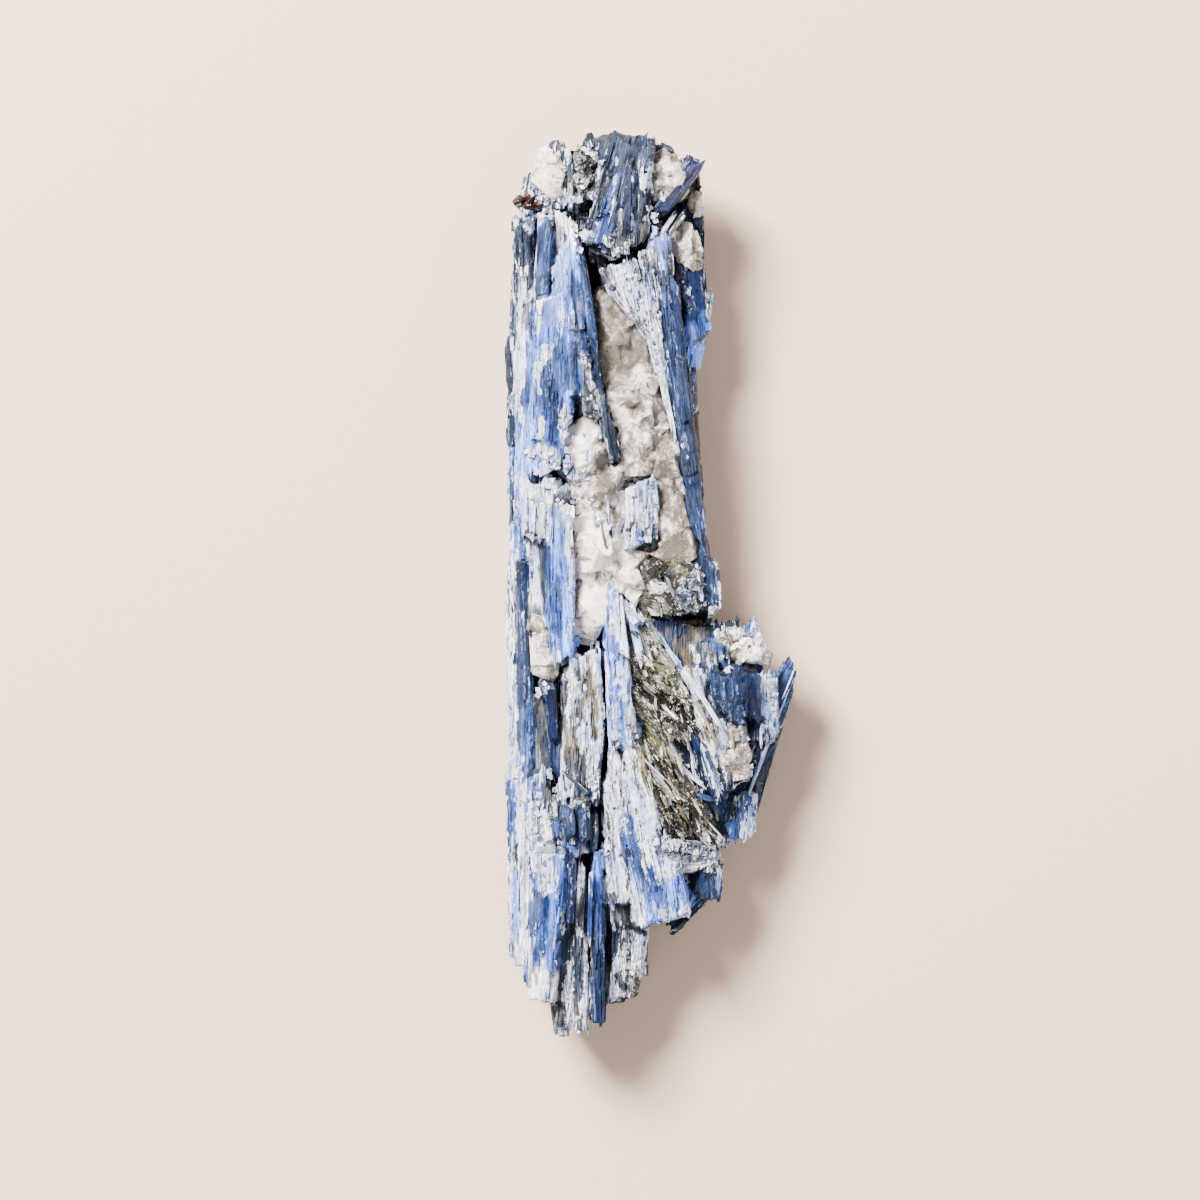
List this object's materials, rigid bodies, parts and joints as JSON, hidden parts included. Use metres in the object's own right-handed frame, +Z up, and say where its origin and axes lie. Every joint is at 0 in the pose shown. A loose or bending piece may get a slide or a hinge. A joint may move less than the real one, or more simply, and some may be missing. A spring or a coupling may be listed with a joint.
{
  "type": "kyanite blade cluster",
  "caption": "Natural mineral specimen: long blue kyanite blades grown side by side, with milky quartz, mica and garnet between them. It lies on its broad side.",
  "frame": {"origin": "under the middle of the specimen, on the surface that it lies on", "axes": "+Y along the blades, towards the squarer end; +Z up, away from the surface that it lies on; +X towards the side that the fan of short blades bulges out on"},
  "size_m": [0.0354, 0.1091, 0.0167],
  "materials": {
    "kyanite": "cleaved crystal faces, silky along the blades",
    "quartz": "broken milky quartz",
    "mica": "stacked cleavage plates",
    "garnet": "weathered grains"
  },
  "bodies": {
    "root": {"left_blades": "kyanite", "right_blades": "kyanite", "top_blades": "kyanite", "fan_blades": "kyanite", "embedded_blade": "kyanite", "quartz_vein": "quartz", "quartz_top": "quartz", "quartz_side": "quartz", "quartz_left": "quartz", "quartz_middle": "quartz", "quartz_fan": "quartz", "quartz_table": "quartz", "quartz_shoulder": "quartz", "mica_top": "mica", "mica_crevice": "mica", "mica_fan_upper": "mica", "mica_fan_lower": "mica", "garnets": "garnet"}
  },
  "joints": []
}
